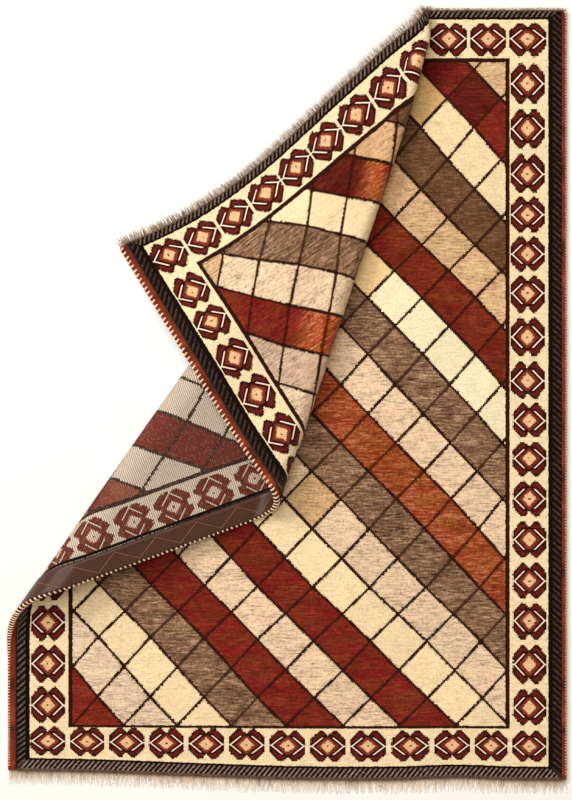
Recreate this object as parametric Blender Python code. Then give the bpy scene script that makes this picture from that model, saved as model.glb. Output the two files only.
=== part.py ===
"""Gabbeh rug lying pile up, its upper left corner folded back on itself twice."""

import bpy
import bmesh
import numpy as np
from mathutils import Matrix, Vector

# Sizes are in metres. u runs across the flat rug from its left edge, and v down from its top end.
RUG_WIDTH = 1.22
RUG_LENGTH = 1.682
RUG_THICK = 0.009
MIDDLE_HEIGHT = RUG_THICK / 2
SELVEDGE_LEFT = 0.0195
SELVEDGE_RIGHT = 0.0110
SELVEDGE_THICK = 0.0076
SELVEDGE_INSET = 0.0002
EDGE_GAP = 0.0006
SIDE_INSET = 0.001
OVAL_SIDES = 8
LEATHER_WIDTH = 0.048
LEATHER_THICK = 0.0016
LEATHER_GAP = 0.0008
LEATHER_INSET = 0.0006
LAYER_GAP = 0.003

# The two folds fan out from one point just past the top end, at these angles below the +X axis.
FAN_U = 0.947
FAN_V = -0.036
FOLD_LOWER = np.radians(125.3)
FOLD_UPPER = np.radians(143.46)
BEND_TIGHT = 0.011
BEND_WIDEN = 0.0322
BEND_EASE = 0.4
BEND_START = 0.09
BEND_FULL = 0.4
SLOPE_LIMIT = 0.36

# The second layer starts to slope at this distance from the fan's point. Past SETTLE_FROM the flap bears on
# the lower fold's crest, and from there it runs down to the floor.
SLOPE_FROM = 0.11
SLOPE_OVER = 0.22
LAYER_SHARE = 0.06
SETTLE_FROM = 0.12
SETTLE_OVER = 0.06
CREST_CLEAR = 0.002
SAG = 0.08
RUN_BASE = 0.05
RUN_PER_HEIGHT = 3.4

# The flap also drifts in its own plane, as loosely thrown wool cloth does. Each row is a distance from the
# fan's point, the drift's x and y midway between the folds and the top end, and its x and y at the top end.
SKEW_ROWS = (
    (0.10, 0.016, -0.026, 0.016, -0.026),
    (0.30, 0.015, -0.012, 0.020, -0.030),
    (0.50, 0.014, -0.001, 0.031, -0.006),
    (0.70, 0.013, 0.004, 0.040, -0.003),
    (0.93, 0.009, 0.001, 0.033, -0.042),
)
SKEW_FROM = np.radians(118.0)
SKEW_MIDWAY = np.radians(150.0)
SKEW_TO = np.radians(178.0)
SKEW_NEAR = 0.03
SKEW_WHOLE = 0.15
SKEW_FAR = 0.93
SKEW_GONE = 1.2

# The lower end isn't square: it is short by this much at the left, and a little near two thirds across.
END_SHORT = 0.021
END_SHORT_SPAN = 0.75
END_DENT = 0.005
END_DENT_AT = 0.98
END_DENT_WIDE = 0.09
END_PULL_FROM = 1.53
END_PULL_OVER = 0.15

# The cloth rises over the leather strips along its sides.
LIFT_FULL = 0.070
LIFT_NONE = 0.120

# Fringe: strips along the ends, parted from the cloth by a gap that is wider where the end curves. Each lock
# bends at the stations of the short table: share of its length, half its width and half its thickness there.
END_GAP_STRAIGHT = 0.0004
END_GAP_WAVY = 0.0010
END_GAP_FOLDED = 0.0014
STRIP_WIDTH = 0.0035
STRIP_LOW = -0.0042
STRIP_HIGH = -0.0014
LOCK_PITCH = 0.0115
LOCK_WIDTH = 0.0068
LOCK_STATIONS = ((0.5, 0.0026, 0.00085), (1.0, 0.0010, 0.00045))
LOCK_DROP = 0.4
LOCK_SAG = 0.001
LOCK_LEAN = 0.1
LOCK_STRAY = 0.05
FLOOR_CLEAR = 0.0002
FRINGE_BOTTOM = 0.027
FRINGE_TOP = 0.008
FRINGE_FLAP = 0.024
FRINGE_INSET = 0.004
FOLD_CLEAR = 0.002

# Grid of the rug: stations across the folds, and rows from the top end outwards.
MAIN_STATIONS = 18
BEND_STATIONS = 15
LAYER_STATIONS = 3
FLAP_STATIONS = 21
ROWS = 24
SIDE_ROWS = (0.118, 0.072)
FLAP_SIDE_START = 0.22
FLAP_CROWDING = 1.6
SIDE_STOPS = 22
LOWER_STOPS = 6
RIGHT_STOPS = 9
LEATHER_STEPS = 2

# Steps of the working: a small length, a step for directions, and rounds of the two iterations.
SMALL = 0.001
NEARBY = 0.0004
SLOPE_ROUNDS = 6
REACH_ROUNDS = 60

TOP_Y = RUG_LENGTH / 2


def ease(x):
    """Zero to one with level ends."""
    x = np.clip(x, 0.0, 1.0)
    return x * x * (3.0 - 2.0 * x)


def bend_radius(r):
    """Radius of the folds' middle surface at distance r from the fan's point."""
    far = np.maximum(r - BEND_START, 0.0)
    return BEND_TIGHT + BEND_WIDEN * far / (1.0 + BEND_EASE * far)


def layer_slope(r, radius, spread):
    """Angle at which the second layer slopes down to bear on the first."""
    slope = np.zeros_like(r)
    for _ in range(SLOPE_ROUNDS):
        straight = np.maximum(spread - (np.pi + slope) * radius, SMALL)
        drop = 2.0 * radius * np.cos(slope) - RUG_THICK - LAYER_GAP
        slope = np.arcsin(np.clip(drop / straight, 0.0, np.sin(SLOPE_LIMIT)))
    return slope * ease((r - SLOPE_FROM) / SLOPE_OVER)


def fold_stations(r):
    """Lengths along the circle of radius r where each bend starts and ends, from the lower fold line."""
    radius = bend_radius(r)
    spread = r * (FOLD_UPPER - FOLD_LOWER)
    turn = np.minimum(np.pi, (1.0 - LAYER_SHARE) * spread / radius)
    turn = turn + layer_slope(r, radius, spread)
    straight = np.maximum(spread - turn * radius, 0.0)
    lower_start = -turn * radius / 2.0
    lower_end = turn * radius / 2.0
    upper_start = lower_end + straight
    upper_end = upper_start + turn * radius
    return radius, turn, straight, lower_start, lower_end, upper_start, upper_end


def fold_profile(r, s):
    """Place across the folds and height of the point at length s along the circle of radius r."""
    radius, turn, straight, lower_start, lower_end, upper_start, upper_end = fold_stations(r)
    lower = np.clip((s - lower_start) / radius, 0.0, turn)
    layer = np.clip(s - lower_end, 0.0, straight)
    upper = np.clip((s - upper_start) / radius, 0.0, turn)
    across = np.minimum(s, lower_start) + radius * np.sin(lower) + layer * np.cos(turn)
    across = across + radius * (np.sin(turn) - np.sin(turn - upper)) + np.maximum(s - upper_end, 0.0)
    height = MIDDLE_HEIGHT + radius * (1.0 - np.cos(lower)) + layer * np.sin(turn)
    height = height + radius * (np.cos(turn - upper) - np.cos(turn))

    flap_across = lower_start + 2.0 * radius * np.sin(turn) + straight * np.cos(turn)
    flap_height = MIDDLE_HEIGHT + 2.0 * radius * (1.0 - np.cos(turn)) + straight * np.sin(turn)
    bearing = MIDDLE_HEIGHT + 2.0 * radius + RUG_THICK + LAYER_GAP
    crest = flap_height + (bearing - flap_height) * ease((r - SETTLE_FROM) / SETTLE_OVER)
    crest_across = np.maximum(lower_start, flap_across + CREST_CLEAR)
    to_crest = ease((across - flap_across) / (crest_across - flap_across))
    sag = SAG * (crest - MIDDLE_HEIGHT) * ease(r / BEND_FULL) * np.sin(np.pi * to_crest) ** 2
    run = RUN_BASE + RUN_PER_HEIGHT * (crest - MIDDLE_HEIGHT)
    fall = ease((across - crest_across) / run)
    flap = flap_height + (crest - flap_height) * to_crest - sag - MIDDLE_HEIGHT
    height = np.where(s > upper_end, MIDDLE_HEIGHT + flap * (1.0 - fall), height)
    return across, height


def skew(r, angle):
    """In-plane drift of the flap, as x and y, at distance r and angle from the fan's point."""
    share = np.maximum(angle - SKEW_FROM, 0.0) / (SKEW_TO - SKEW_FROM)
    half = (SKEW_MIDWAY - SKEW_FROM) / (SKEW_TO - SKEW_FROM)
    whole = ease((r - SKEW_NEAR) / (SKEW_WHOLE - SKEW_NEAR)) * ease(share / half)
    whole = whole * (1.0 - ease((r - SKEW_FAR) / (SKEW_GONE - SKEW_FAR)))
    rows = np.array(SKEW_ROWS)
    drift = []
    for k in (1, 2):
        midway, end = (np.polyval(np.polyfit(rows[:, 0], rows[:, column], 4), np.minimum(r, SKEW_FAR))
                       for column in (k, k + 2))
        drift.append(whole * (midway + (end - midway) * (share - half) / (1.0 - half)))
    return drift


def end_pull(u, v):
    """How far the uneven lower end draws the cloth back towards the top."""
    short = END_SHORT * (1.0 - ease(u / END_SHORT_SPAN))
    dent = END_DENT * np.exp(-((u - END_DENT_AT) / END_DENT_WIDE) ** 2)
    return (short + dent) * ease((v - END_PULL_FROM) / END_PULL_OVER)


def side_lift(u):
    """Height that the leather strips add along both sides."""
    inset = np.minimum(u, RUG_WIDTH - u)
    full = LEATHER_THICK + LEATHER_GAP
    return full * (1.0 - ease((inset - LIFT_FULL) / (LIFT_NONE - LIFT_FULL)))


def middle_surface(u, v):
    """Point of the folded rug's middle surface for the flat point u, v."""
    x = u - FAN_U
    y = v - FAN_V
    r = np.hypot(x, y)
    angle = np.arctan2(y, x)
    across, height = fold_profile(r, r * (angle - FOLD_LOWER))
    turned = FOLD_LOWER + across / r
    level = np.sqrt(np.maximum(r ** 2 - (height - MIDDLE_HEIGHT) ** 2, SMALL ** 2))
    drift_x, drift_y = skew(r, angle)
    folded_u = FAN_U + level * np.cos(turned) + drift_x
    folded_v = FAN_V + level * np.sin(turned) + drift_y - end_pull(u, v)
    return np.stack((folded_u - RUG_WIDTH / 2.0, TOP_Y - folded_v, height + side_lift(u)), axis=-1)


def in_cloth(u, v, lift):
    """Point at height lift above the middle surface, towards the pile, and the pile's direction there."""
    u, v, lift = np.broadcast_arrays(*(np.asarray(value, dtype=float) for value in (u, v, lift)))
    along_u = middle_surface(u + NEARBY, v) - middle_surface(u - NEARBY, v)
    along_v = middle_surface(u, v + NEARBY) - middle_surface(u, v - NEARBY)
    normal = np.cross(along_v, along_u)
    normal = normal / np.linalg.norm(normal, axis=-1, keepdims=True)
    return middle_surface(u, v) + normal * lift[..., None], normal


def material(name, colour, roughness):
    """Plain surface of one colour."""
    result = bpy.data.materials.new(name)
    result.use_nodes = True
    shader = result.node_tree.nodes["Principled BSDF"]
    shader.inputs["Base Color"].default_value = (*colour, 1.0)
    shader.inputs["Roughness"].default_value = roughness
    return result


def finish_object(name, bm, surface, collection, smooth=True):
    """Turn the bmesh into an object of the collection."""
    bmesh.ops.recalc_face_normals(bm, faces=bm.faces)
    mesh = bpy.data.meshes.new(name)
    bm.to_mesh(mesh)
    bm.free()
    if smooth:
        mesh.shade_smooth()
    mesh.materials.append(surface)
    result = bpy.data.objects.new(name, mesh)
    collection.objects.link(result)
    return result


def loft(bm, rings):
    """Skin a row of closed rings, with an end face on the first and last, and return the side faces."""
    rows = [[bm.verts.new(point) for point in ring] for ring in rings]
    count = len(rows[0])
    sides = []
    for first, second in zip(rows, rows[1:]):
        band = []
        for k in range(count):
            after = (k + 1) % count
            band.append(bm.faces.new((first[k], first[after], second[after], second[k])))
        sides.append(band)
    bm.faces.new(rows[0][::-1])
    bm.faces.new(rows[-1])
    return sides


def reach(angles_at, distance_at, start):
    """Distance from the fan's point at which each bent station line meets an edge, by iteration."""
    r = start
    for _ in range(REACH_ROUNDS):
        r = 0.5 * r + 0.5 * distance_at(angles_at(r))
    return r


def station_angle(kind, share, r):
    """Angle of the station line, at distance r, that lies this share of the way through a bend or layer."""
    _, _, _, lower_start, lower_end, upper_start, upper_end = fold_stations(r)
    first, last = {
        "lower": (lower_start, lower_end),
        "layer": (lower_end, upper_start),
        "upper": (upper_start, upper_end),
    }[kind]
    return FOLD_LOWER + (first + (last - first) * share) / r


def fold_line(kind, share, left, rows):
    """Flat points of one station line, from the top end to the left edge."""
    def angles(r):
        return station_angle(kind, share, r)

    top = reach(angles, lambda angle: -FAN_V / np.sin(angle), np.array(0.05))
    ends = [reach(angles, lambda angle: (left + inset - FAN_U) / np.cos(angle), np.array(1.2))
            for inset in (*SIDE_ROWS, 0.0)]
    inner = top + (ends[0] - top) * (np.arange(rows - 1) / (rows - 2)) ** 1.5
    r = np.concatenate((inner, ends[1:]))
    angle = angles(r)
    return np.stack((FAN_U + r * np.cos(angle), FAN_V + r * np.sin(angle)), axis=-1)


def straight_line(first, last, shares):
    """Flat points between two flat points, at the given shares of the way."""
    return np.asarray(first) + (np.asarray(last) - np.asarray(first)) * shares[:, None]


def shares_along(line):
    """How far each point of a line is from its first, as a share of the last one's distance."""
    far = np.linalg.norm(line - line[0], axis=1)
    return far / far[-1]


def rug_grid():
    """Flat points of the rug's grid, as stations by rows."""
    left = SELVEDGE_LEFT + EDGE_GAP
    right = RUG_WIDTH - SELVEDGE_RIGHT - EDGE_GAP
    folds = [("lower", k / (BEND_STATIONS - 1)) for k in range(BEND_STATIONS)]
    folds += [("layer", (k + 1) / (LAYER_STATIONS + 1)) for k in range(LAYER_STATIONS)]
    folds += [("upper", k / (BEND_STATIONS - 1)) for k in range(BEND_STATIONS)]
    fold_part = [fold_line(kind, share, left, ROWS) for kind, share in folds]
    lower_side = fold_part[0]
    upper_side = fold_part[-1]

    # Main layer: lines from the top end to the lower end, then round the corner to the left edge.
    shares = shares_along(lower_side)
    lifted = [right, RUG_WIDTH - LIFT_FULL, RUG_WIDTH - LIFT_NONE]
    low_stops = lifted + list(np.linspace(lifted[-1], LIFT_NONE, MAIN_STATIONS)[1:]) + [LIFT_FULL, left]
    low_stops = [(stop, RUG_LENGTH) for stop in low_stops]
    low_stops += [(left, stop) for stop in np.linspace(RUG_LENGTH, lower_side[-1, 1], 4)[1:-1]]
    top_stops = lifted + list(np.linspace(lifted[-1], lower_side[0, 0], len(low_stops) - 1)[1:-1])
    main_part = []
    lower_bow = lower_side - straight_line(lower_side[0], lower_side[-1], shares)
    for k, (top, low) in enumerate(zip(top_stops, low_stops)):
        main_part.append(straight_line((top, 0.0), low, shares) + lower_bow * (k / len(low_stops)) ** 3)

    # Flap: lines that turn from the upper fold's direction to the left edge's.
    flap_part = []
    base = shares_along(upper_side)
    upper_bow = upper_side - straight_line(upper_side[0], upper_side[-1], base)
    for k in range(1, FLAP_STATIONS + 1):
        share = k / FLAP_STATIONS
        top = (upper_side[0, 0] + (left - upper_side[0, 0]) * share ** FLAP_CROWDING, 0.0)
        low = (left, upper_side[-1, 1] + (FLAP_SIDE_START - upper_side[-1, 1]) * share)
        evened = base + (np.linspace(0.0, 1.0, len(base)) - base) * share
        line = straight_line(top, low, evened)
        flap_part.append(line + upper_bow * (1.0 - share) ** 2)
    return np.array(main_part + fold_part + flap_part)


def left_edge_stops(grid):
    """Places down the left edge for sections of its trims, and each section's slope on the flat rug.

    Through the folds a section lies along the straight line of the bend, and near the corners it is square."""
    first = len(grid) - FLAP_STATIONS - 2 * BEND_STATIONS - LAYER_STATIONS
    folds = grid[first:len(grid) - FLAP_STATIONS][::-1]
    places = folds[:, -1, 1]
    slopes = (folds[:, -2, 1] - places) / (folds[:, -2, 0] - folds[:, -1, 0])
    above = np.linspace(SIDE_INSET, places[0], SIDE_STOPS)[:-1]
    below = np.linspace(places[-1], RUG_LENGTH - SIDE_INSET, LOWER_STOPS)[1:]
    above_slopes = slopes[0] * above / places[0]
    below_slopes = slopes[-1] * (RUG_LENGTH - below) / (RUG_LENGTH - places[-1])
    return np.concatenate((above, places, below)), np.concatenate((above_slopes, slopes, below_slopes))


def make_rug(grid, collection):
    """One sheet through all its folds: a grid for the pile's face, one for the back, and a rim between."""
    stations, rows, _ = grid.shape
    bm = bmesh.new()
    faces = []
    for lift in (RUG_THICK / 2.0, -RUG_THICK / 2.0):
        points, _ = in_cloth(grid[..., 0], grid[..., 1], lift)
        made = bmesh.ops.create_grid(bm, x_segments=stations - 1, y_segments=rows - 1, size=1.0)
        face = {}
        for vertex in made["verts"]:
            i = round((vertex.co.x + 1.0) / 2.0 * (stations - 1))
            j = round((vertex.co.y + 1.0) / 2.0 * (rows - 1))
            vertex.co = points[i, j]
            face[i, j] = vertex
        faces.append(face)
    rim = [(i, 0) for i in range(stations)]
    rim += [(stations - 1, j) for j in range(1, rows)]
    rim += [(i, rows - 1) for i in range(stations - 2, -1, -1)]
    rim += [(0, j) for j in range(rows - 2, 0, -1)]
    pile, back = faces
    for here, there in zip(rim, rim[1:] + rim[:1]):
        bm.faces.new((pile[here], pile[there], back[there], back[here]))
    finish_object("rug", bm, material("wool_pile", (0.50, 0.33, 0.19), 0.95), collection)


def sections(across, high, stops, slopes):
    """Rings of one flat section, placed at each stop down an edge and turned to its slope."""
    left = SELVEDGE_LEFT + EDGE_GAP
    v = stops[:, None] + slopes[:, None] * (across[None, :] - left)
    v = np.clip(v, SIDE_INSET, RUG_LENGTH - SIDE_INSET)
    rings, _ = in_cloth(across[None, :], v, high[None, :])
    return rings


def make_selvedge(name, u_from, u_to, stops, slopes, collection, surface):
    """Overcast cord along one side, oval in section."""
    angles = (np.arange(OVAL_SIDES) + 0.5) / OVAL_SIDES * 2.0 * np.pi
    across = (u_from + u_to) / 2.0 + (u_to - u_from) / 2.0 * np.cos(angles) / np.cos(np.pi / OVAL_SIDES)
    high = SELVEDGE_THICK / 2.0 * np.sin(angles)
    bm = bmesh.new()
    loft(bm, sections(across, high, stops, slopes))
    finish_object(name, bm, surface, collection)


def make_leather(name, u_from, u_to, stops, slopes, collection, surface):
    """Leather strip on the back, along one side."""
    steps = np.linspace(u_from, u_to, LEATHER_STEPS + 1)
    upper = -RUG_THICK / 2.0 - LEATHER_GAP
    across = np.concatenate((steps, steps[::-1]))
    high = np.concatenate((np.full(len(steps), upper), np.full(len(steps), upper - LEATHER_THICK)))
    bm = bmesh.new()
    loft(bm, sections(across, high, stops, slopes))
    finish_object(name, bm, surface, collection)


def make_fringe(name, u_from, u_to, at_top, gap, length, seed, collection, surface):
    """Narrow strip past one end of the cloth, with a row of flat-sided locks growing out of it."""
    rng = np.random.default_rng(seed)
    count = max(2, round((u_to - u_from) / LOCK_PITCH))
    pitch = (u_to - u_from) / count
    centres = u_from + (np.arange(count) + 0.5) * pitch
    sides_of_locks = centres[:, None] + np.array([-0.5, 0.5]) * LOCK_WIDTH
    stops = np.concatenate(([u_from], sides_of_locks.ravel(), [u_to]))
    way = -1.0 if at_top else 1.0
    edge = 0.0 if at_top else RUG_LENGTH
    inner = edge + way * gap
    outer = inner + way * STRIP_WIDTH
    section_v = np.array([inner, outer, outer, inner])
    section_high = np.array([STRIP_LOW, STRIP_LOW, STRIP_HIGH, STRIP_HIGH])
    rings, _ = in_cloth(stops[:, None], section_v[None, :], section_high[None, :])
    bm = bmesh.new()
    sides = loft(bm, rings)
    roots = [sides[2 * k + 1][1] for k in range(count)]
    inside, _ = in_cloth(centres, np.full(count, inner), (STRIP_LOW + STRIP_HIGH) / 2.0)
    start, normal = in_cloth(centres, np.full(count, outer), (STRIP_LOW + STRIP_HIGH) / 2.0)
    before, _ = in_cloth(centres - NEARBY, np.full(count, outer), 0.0)
    after, _ = in_cloth(centres + NEARBY, np.full(count, outer), 0.0)
    side = (after - before) / np.linalg.norm(after - before, axis=1, keepdims=True)
    out = (start - inside) / np.linalg.norm(start - inside, axis=1, keepdims=True)
    for k, root in enumerate(roots):
        long = length * rng.uniform(0.85, 1.1)
        lean = LOCK_LEAN * np.sin(0.7 * k) + rng.uniform(-LOCK_STRAY, LOCK_STRAY)
        for part, wide, thick in LOCK_STATIONS:
            centre = start[k] + out[k] * long * part + side[k] * lean * long * part ** 1.5
            rest = thick + FLOOR_CLEAR
            centre[2] = max(rest, start[k][2] - LOCK_DROP * long * part ** 2 - LOCK_SAG * part)
            made = bmesh.ops.extrude_discrete_faces(bm, faces=[root])
            root = made["faces"][0]
            middle = sum((vertex.co.copy() for vertex in root.verts), root.verts[0].co * 0.0) / 4.0
            for vertex in root.verts:
                arm = np.array(vertex.co - middle)
                across = wide if arm @ side[k] > 0.0 else -wide
                high = thick if arm @ normal[k] > 0.0 else -thick
                vertex.co = centre + side[k] * across + normal[k] * high
    finish_object(name, bm, surface, collection, smooth=False)


def centre_on_floor(collection):
    """Move everything so that its bounds are centred across and down, with the floor at zero."""
    objects = list(collection.objects)
    points = np.array([vertex.co for each in objects for vertex in each.data.vertices])
    low = points.min(axis=0)
    high = points.max(axis=0)
    shift = Vector((-(low[0] + high[0]) / 2.0, -(low[1] + high[1]) / 2.0, -low[2]))
    for each in objects:
        each.data.transform(Matrix.Translation(shift))


def main():
    for old in list(bpy.data.objects):
        bpy.data.objects.remove(old, do_unlink=True)
    collection = bpy.data.collections.new("gabbeh_rug")
    bpy.context.scene.collection.children.link(collection)

    grid = rug_grid()
    left_side = left_edge_stops(grid)
    right_stops = np.linspace(SIDE_INSET, RUG_LENGTH - SIDE_INSET, RIGHT_STOPS)
    right_side = (right_stops, 0.0 * right_stops)
    make_rug(grid, collection)

    overcast = material("overcast_wool", (0.20, 0.035, 0.015), 0.9)
    make_selvedge("selvedge_left", SELVEDGE_INSET, SELVEDGE_LEFT, *left_side, collection, overcast)
    make_selvedge("selvedge_right", RUG_WIDTH - SELVEDGE_RIGHT, RUG_WIDTH - SELVEDGE_INSET, *right_side,
                  collection, overcast)

    leather = material("brown_leather", (0.062, 0.030, 0.020), 0.35)
    make_leather("leather_strip_left", LEATHER_INSET, LEATHER_INSET + LEATHER_WIDTH, *left_side,
                 collection, leather)
    make_leather("leather_strip_right", RUG_WIDTH - LEATHER_INSET - LEATHER_WIDTH, RUG_WIDTH - LEATHER_INSET,
                 *right_side, collection, leather)

    wool = material("fringe_wool", (0.42, 0.36, 0.30), 0.95)
    first = SELVEDGE_LEFT + FRINGE_INSET
    last = RUG_WIDTH - SELVEDGE_RIGHT - FRINGE_INSET
    flap_end = grid[-FLAP_STATIONS - 1, 0, 0] - FOLD_CLEAR
    main_start = grid[-FLAP_STATIONS - 2 * BEND_STATIONS - LAYER_STATIONS, 0, 0] + FOLD_CLEAR
    make_fringe("fringe_bottom", first, last, False, END_GAP_WAVY, FRINGE_BOTTOM, 1, collection, wool)
    make_fringe("fringe_top_main", main_start, last, True, END_GAP_STRAIGHT, FRINGE_TOP, 2, collection, wool)
    make_fringe("fringe_top_flap", first, flap_end, True, END_GAP_FOLDED, FRINGE_FLAP, 3, collection, wool)
    centre_on_floor(collection)


main()
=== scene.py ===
import math
import bpy
import numpy as np
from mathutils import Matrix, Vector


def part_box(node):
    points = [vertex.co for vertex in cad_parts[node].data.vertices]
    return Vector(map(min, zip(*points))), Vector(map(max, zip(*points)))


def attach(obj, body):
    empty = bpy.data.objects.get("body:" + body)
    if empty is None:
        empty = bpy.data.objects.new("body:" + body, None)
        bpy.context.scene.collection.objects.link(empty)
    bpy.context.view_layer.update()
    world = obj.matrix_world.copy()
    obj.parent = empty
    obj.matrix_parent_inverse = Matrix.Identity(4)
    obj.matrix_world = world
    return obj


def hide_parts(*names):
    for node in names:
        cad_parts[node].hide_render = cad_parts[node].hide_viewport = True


# A gabbeh rug, pile up, with one corner folded back twice, as a looks script in metres.

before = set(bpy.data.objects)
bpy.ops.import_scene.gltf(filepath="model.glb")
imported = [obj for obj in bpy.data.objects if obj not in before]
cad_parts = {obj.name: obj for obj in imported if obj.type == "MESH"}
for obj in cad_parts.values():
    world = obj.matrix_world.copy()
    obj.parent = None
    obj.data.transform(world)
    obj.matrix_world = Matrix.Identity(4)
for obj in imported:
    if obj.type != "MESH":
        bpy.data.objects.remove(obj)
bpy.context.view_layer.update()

rug = dict(width=1.22, length=1.682, thick=0.009, selvedgeLeft=0.0195, selvedgeRight=0.011,
           leatherWidth=0.048, leatherThick=0.0016, leatherGap=0.0008, leatherInset=0.0006, sideInset=0.001)

# The two folds fan out from one point just past the top end, at these angles in degrees.
fold = dict(fanU=0.947, fanV=-0.036, lower=125.3, upper=143.46, bendTight=0.011, bendWiden=0.0322,
            bendEase=0.4, bendStart=0.09, bendFull=0.4, slopeLimit=0.36, slopeFrom=0.11, slopeOver=0.22,
            layerShare=0.06, layerGap=0.003, settleFrom=0.12, settleOver=0.06, crestClear=0.002, sag=0.08,
            runBase=0.05, runPerHeight=3.4, liftFull=0.070, liftNone=0.120)

# Drift of the flap in its own plane: distance from the fan's point, x and y midway, x and y at the top end.
drift = dict(start=118.0, midway=150.0, end=178.0, near=0.03, whole=0.15, far=0.93, gone=1.2,
             rows=((0.10, 0.016, -0.026, 0.016, -0.026), (0.30, 0.015, -0.012, 0.020, -0.030),
                   (0.50, 0.014, -0.001, 0.031, -0.006), (0.70, 0.013, 0.004, 0.040, -0.003),
                   (0.93, 0.009, 0.001, 0.033, -0.042)))

# The lower end is short at the left and a little near two thirds across.
lowerEnd = dict(short=0.021, span=0.75, dent=0.005, dentAt=0.98, dentWide=0.09, start=1.53, over=0.15)

# Heights of the leather's two faces over the cloth's middle, and the flat rug's move to meet the CAD.
leatherTop = -rug["thick"] / 2 - rug["leatherGap"]
leatherUnder = leatherTop - rug["leatherThick"]
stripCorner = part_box("leather_strip_right")[1]
shiftX = stripCorner.x - (rug["width"] / 2 - rug["leatherInset"])
shiftY = stripCorner.y - (rug["length"] / 2 - rug["sideInset"])


def ease(x):
    # zero to one with level ends: 3x squared minus 2x cubed
    x = np.clip(x, 0.0, 1.0)
    return x * x * (3.0 - 2.0 * x)


def bendRadius(r):
    # middle surface's bend radius, growing with the distance r from the fan's point
    far = np.maximum(r - fold["bendStart"], 0.0)
    return fold["bendTight"] + fold["bendWiden"] * far / (1.0 + fold["bendEase"] * far)


def foldStations(r):
    # lengths along the circle of radius r where each bend starts and ends, from the lower fold's line; the
    # slope of the layer between them is found in six rounds, from the drop that lets the upper bend rest on
    # the lower one
    radius = bendRadius(r)
    spread = r * math.radians(fold["upper"] - fold["lower"])
    slope = np.zeros_like(r)
    for _ in range(6):
        straight = np.maximum(spread - (np.pi + slope) * radius, 0.001)
        drop = 2.0 * radius * np.cos(slope) - rug["thick"] - fold["layerGap"]
        slope = np.arcsin(np.clip(drop / straight, 0.0, np.sin(fold["slopeLimit"])))
    slope = slope * ease((r - fold["slopeFrom"]) / fold["slopeOver"])
    turn = np.minimum(np.pi, (1.0 - fold["layerShare"]) * spread / radius) + slope
    straight = np.maximum(spread - turn * radius, 0.0)
    lowerStart = -turn * radius / 2.0
    lowerStop = turn * radius / 2.0
    upperStart = lowerStop + straight
    return radius, turn, straight, lowerStart, lowerStop, upperStart, upperStart + turn * radius


def foldProfile(r, s):
    # two arcs joined by a straight layer, then a flap that lies on the lower crest and runs down to the floor
    radius, turn, straight, lowerStart, lowerStop, upperStart, upperStop = foldStations(r)
    floor = rug["thick"] / 2
    lower = np.clip((s - lowerStart) / radius, 0.0, turn)
    layer = np.clip(s - lowerStop, 0.0, straight)
    upper = np.clip((s - upperStart) / radius, 0.0, turn)
    across = np.minimum(s, lowerStart) + radius * np.sin(lower) + layer * np.cos(turn)
    across = across + radius * (np.sin(turn) - np.sin(turn - upper)) + np.maximum(s - upperStop, 0.0)
    height = floor + radius * (1.0 - np.cos(lower)) + layer * np.sin(turn)
    height = height + radius * (np.cos(turn - upper) - np.cos(turn))
    flapAcross = lowerStart + 2.0 * radius * np.sin(turn) + straight * np.cos(turn)
    flapHeight = floor + 2.0 * radius * (1.0 - np.cos(turn)) + straight * np.sin(turn)
    bearing = floor + 2.0 * radius + rug["thick"] + fold["layerGap"]
    crest = flapHeight + (bearing - flapHeight) * ease((r - fold["settleFrom"]) / fold["settleOver"])
    crestAcross = np.maximum(lowerStart, flapAcross + fold["crestClear"])
    toCrest = ease((across - flapAcross) / (crestAcross - flapAcross))
    sag = fold["sag"] * (crest - floor) * ease(r / fold["bendFull"]) * np.sin(np.pi * toCrest) ** 2
    fall = ease((across - crestAcross) / (fold["runBase"] + fold["runPerHeight"] * (crest - floor)))
    flap = flapHeight + (crest - flapHeight) * toCrest - sag - floor
    return across, np.where(s > upperStop, floor + flap * (1.0 - fall), height)


def flapDrift(r, angle):
    # fourth-degree polynomials through the drift table's rows along r, straight between its two places in
    # angle, and eased to nothing at its ends
    start, midway, end = (math.radians(drift[key]) for key in ("start", "midway", "end"))
    share = np.maximum(angle - start, 0.0) / (end - start)
    half = (midway - start) / (end - start)
    whole = ease((r - drift["near"]) / (drift["whole"] - drift["near"])) * ease(share / half)
    whole = whole * (1.0 - ease((r - drift["far"]) / (drift["gone"] - drift["far"])))
    rows = np.array(drift["rows"])
    x0, y0, x1, y1 = (np.polyval(np.polyfit(rows[:, 0], rows[:, k], 4), np.minimum(r, drift["far"]))
                      for k in (1, 2, 3, 4))
    between = (share - half) / (1.0 - half)
    return whole * (x0 + (x1 - x0) * between), whole * (y0 + (y1 - y0) * between)


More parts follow.
